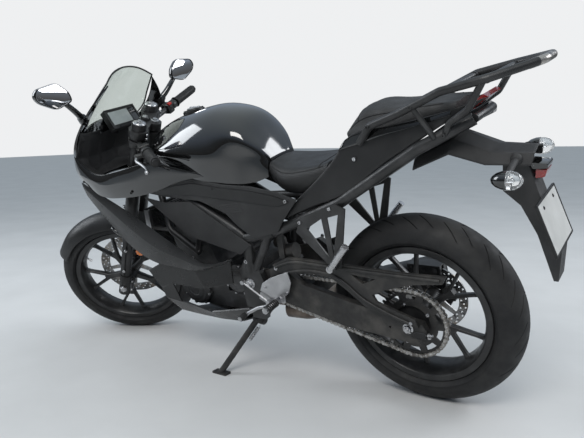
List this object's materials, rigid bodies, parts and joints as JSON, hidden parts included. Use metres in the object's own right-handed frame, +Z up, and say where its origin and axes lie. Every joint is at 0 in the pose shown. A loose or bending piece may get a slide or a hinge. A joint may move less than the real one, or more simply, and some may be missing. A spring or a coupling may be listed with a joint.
{
  "type": "sport bike",
  "caption": "Light sport motorcycle with full fairing, chain drive and tail rack, leaning on its side stand with the steering turned left.",
  "frame": {"origin": "centre of the bounding box on the ground", "axes": "+X forward, +Y to the rider's left, +Z up; the bike leans left on its side stand"},
  "size_m": [2.0463, 0.809, 1.1939],
  "materials": {
    "tyre": "moulded rubber, dusty tread",
    "wheel_black": "satin black powder coat",
    "disc_steel": "machined steel with brake marks",
    "chain_steel": "oily plated steel with grime",
    "sprocket_steel": "dark steel, oily",
    "frame_black": "satin black paint",
    "engine_grey": "dark cast alloy",
    "cover_grey": "satin dark grey paint",
    "radiator_black": "blackened fins",
    "swingarm_black": "satin black paint",
    "axle_steel": "plated steel",
    "fork_grey": "satin grey tubes",
    "clamp_black": "satin black castings",
    "bar_black": "semi-gloss black paint",
    "grip_rubber": "moulded grip pattern",
    "lever_metal": "polished alloy",
    "mudguard_black": "gloss black",
    "cowl_gloss": "deep gloss black",
    "nose_gloss": "gloss black",
    "screen_smoke": "smoked clear plastic",
    "blade_satin": "satin black",
    "inner_grey": "dark grey grained plastic",
    "belly_satin": "satin black, dusty",
    "cover_satin": "dark grey, perforated patch",
    "tail_gloss": "gloss black strip over satin",
    "tank_gloss": "deep gloss black",
    "seat_vinyl": "black grained vinyl",
    "pillion_vinyl": "black textured vinyl",
    "exhaust_steel": "heat-browned steel",
    "muffler_black": "matt black, dusty",
    "shock_black": "black bellows, grey can",
    "guard_grey": "dusty dark grey",
    "heel_alu": "brushed alloy",
    "peg_alu": "polished alloy",
    "bracket_black": "satin black castings",
    "pedal_steel": "worn plated steel",
    "caliper_black": "black castings",
    "lamp_clear": "clear lens over dark housing",
    "mirror_black": "gloss black shells",
    "mirror_glass": "silvered glass",
    "dash_black": "black case, grey display",
    "lining_black": "grained black plastic",
    "tail_black": "grained black plastic",
    "plate_white": "blank pale plate",
    "lamp_red": "red lens",
    "signal_clear": "clear lens, black stem",
    "rack_black": "satin black tube, worn tip",
    "stand_black": "satin black paint"
  },
  "bodies": {
    "front_wheel": {"front_tyre": "tyre", "front_rim": "wheel_black", "front_disc": "disc_steel"},
    "rear_wheel": {"rear_tyre": "tyre", "rear_rim": "wheel_black", "rear_disc": "disc_steel", "sprocket": "sprocket_steel"},
    "chassis": {"chain": "chain_steel", "front_sprocket": "sprocket_steel", "frame": "frame_black", "subframe": "frame_black", "engine_block": "engine_grey", "engine_covers": "cover_grey", "radiator": "radiator_black", "swingarm": "swingarm_black", "rear_axle": "axle_steel", "side_cowls": "cowl_gloss", "front_cowl": "nose_gloss", "windscreen": "screen_smoke", "blades": "blade_satin", "inner_panels": "inner_grey", "belly_pan": "belly_satin", "side_covers": "cover_satin", "tail_covers": "tail_gloss", "fuel_tank": "tank_gloss", "rider_seat": "seat_vinyl", "pillion_seat": "pillion_vinyl", "exhaust_pipe": "exhaust_steel", "muffler": "muffler_black", "shock": "shock_black", "chain_guard": "guard_grey", "foot_brackets": "heel_alu", "foot_pegs": "peg_alu", "passenger_brackets": "bracket_black", "pedals": "pedal_steel", "rear_caliper": "caliper_black", "headlamps": "lamp_clear", "mirrors": "mirror_black", "mirror_glasses": "mirror_glass", "dash": "dash_black", "cowl_lining": "lining_black", "under_tail": "tail_black", "number_plate": "plate_white", "tail_lamp": "lamp_red", "rear_signals": "signal_clear", "rack": "rack_black"},
    "side_stand": {"side_stand": "stand_black"},
    "steering": {"fork_legs": "fork_grey", "triple_clamps": "clamp_black", "handlebars": "bar_black", "grips": "grip_rubber", "front_mudguard": "mudguard_black", "front_caliper": "caliper_black", "levers": "lever_metal"}
  },
  "joints": [
    {"name": "steering", "type": "hinge", "parent": "chassis", "child": "steering", "pos_m": [0.73196, -0.16236, 0.26431], "axis": [-0.4175, 0.1977, 0.8869], "range_deg": [-65, 0]},
    {"name": "front_wheel", "type": "hinge", "parent": "steering", "child": "front_wheel", "pos_m": [0.76084, -0.13965, 0.27284], "axis": [-0.4893, 0.7735, -0.4028], "continuous": true},
    {"name": "rear_wheel", "type": "hinge", "parent": "chassis", "child": "rear_wheel", "pos_m": [-0.61362, -0.1543, 0.30812], "axis": [-0.0013, 0.9759, -0.2181], "continuous": true},
    {"name": "side_stand", "type": "hinge", "parent": "chassis", "child": "side_stand", "pos_m": [-0.01221, -0.06202, 0.2041], "axis": [0.1628, 0.8756, 0.4548], "range_deg": [0, 113.49]}
  ]
}
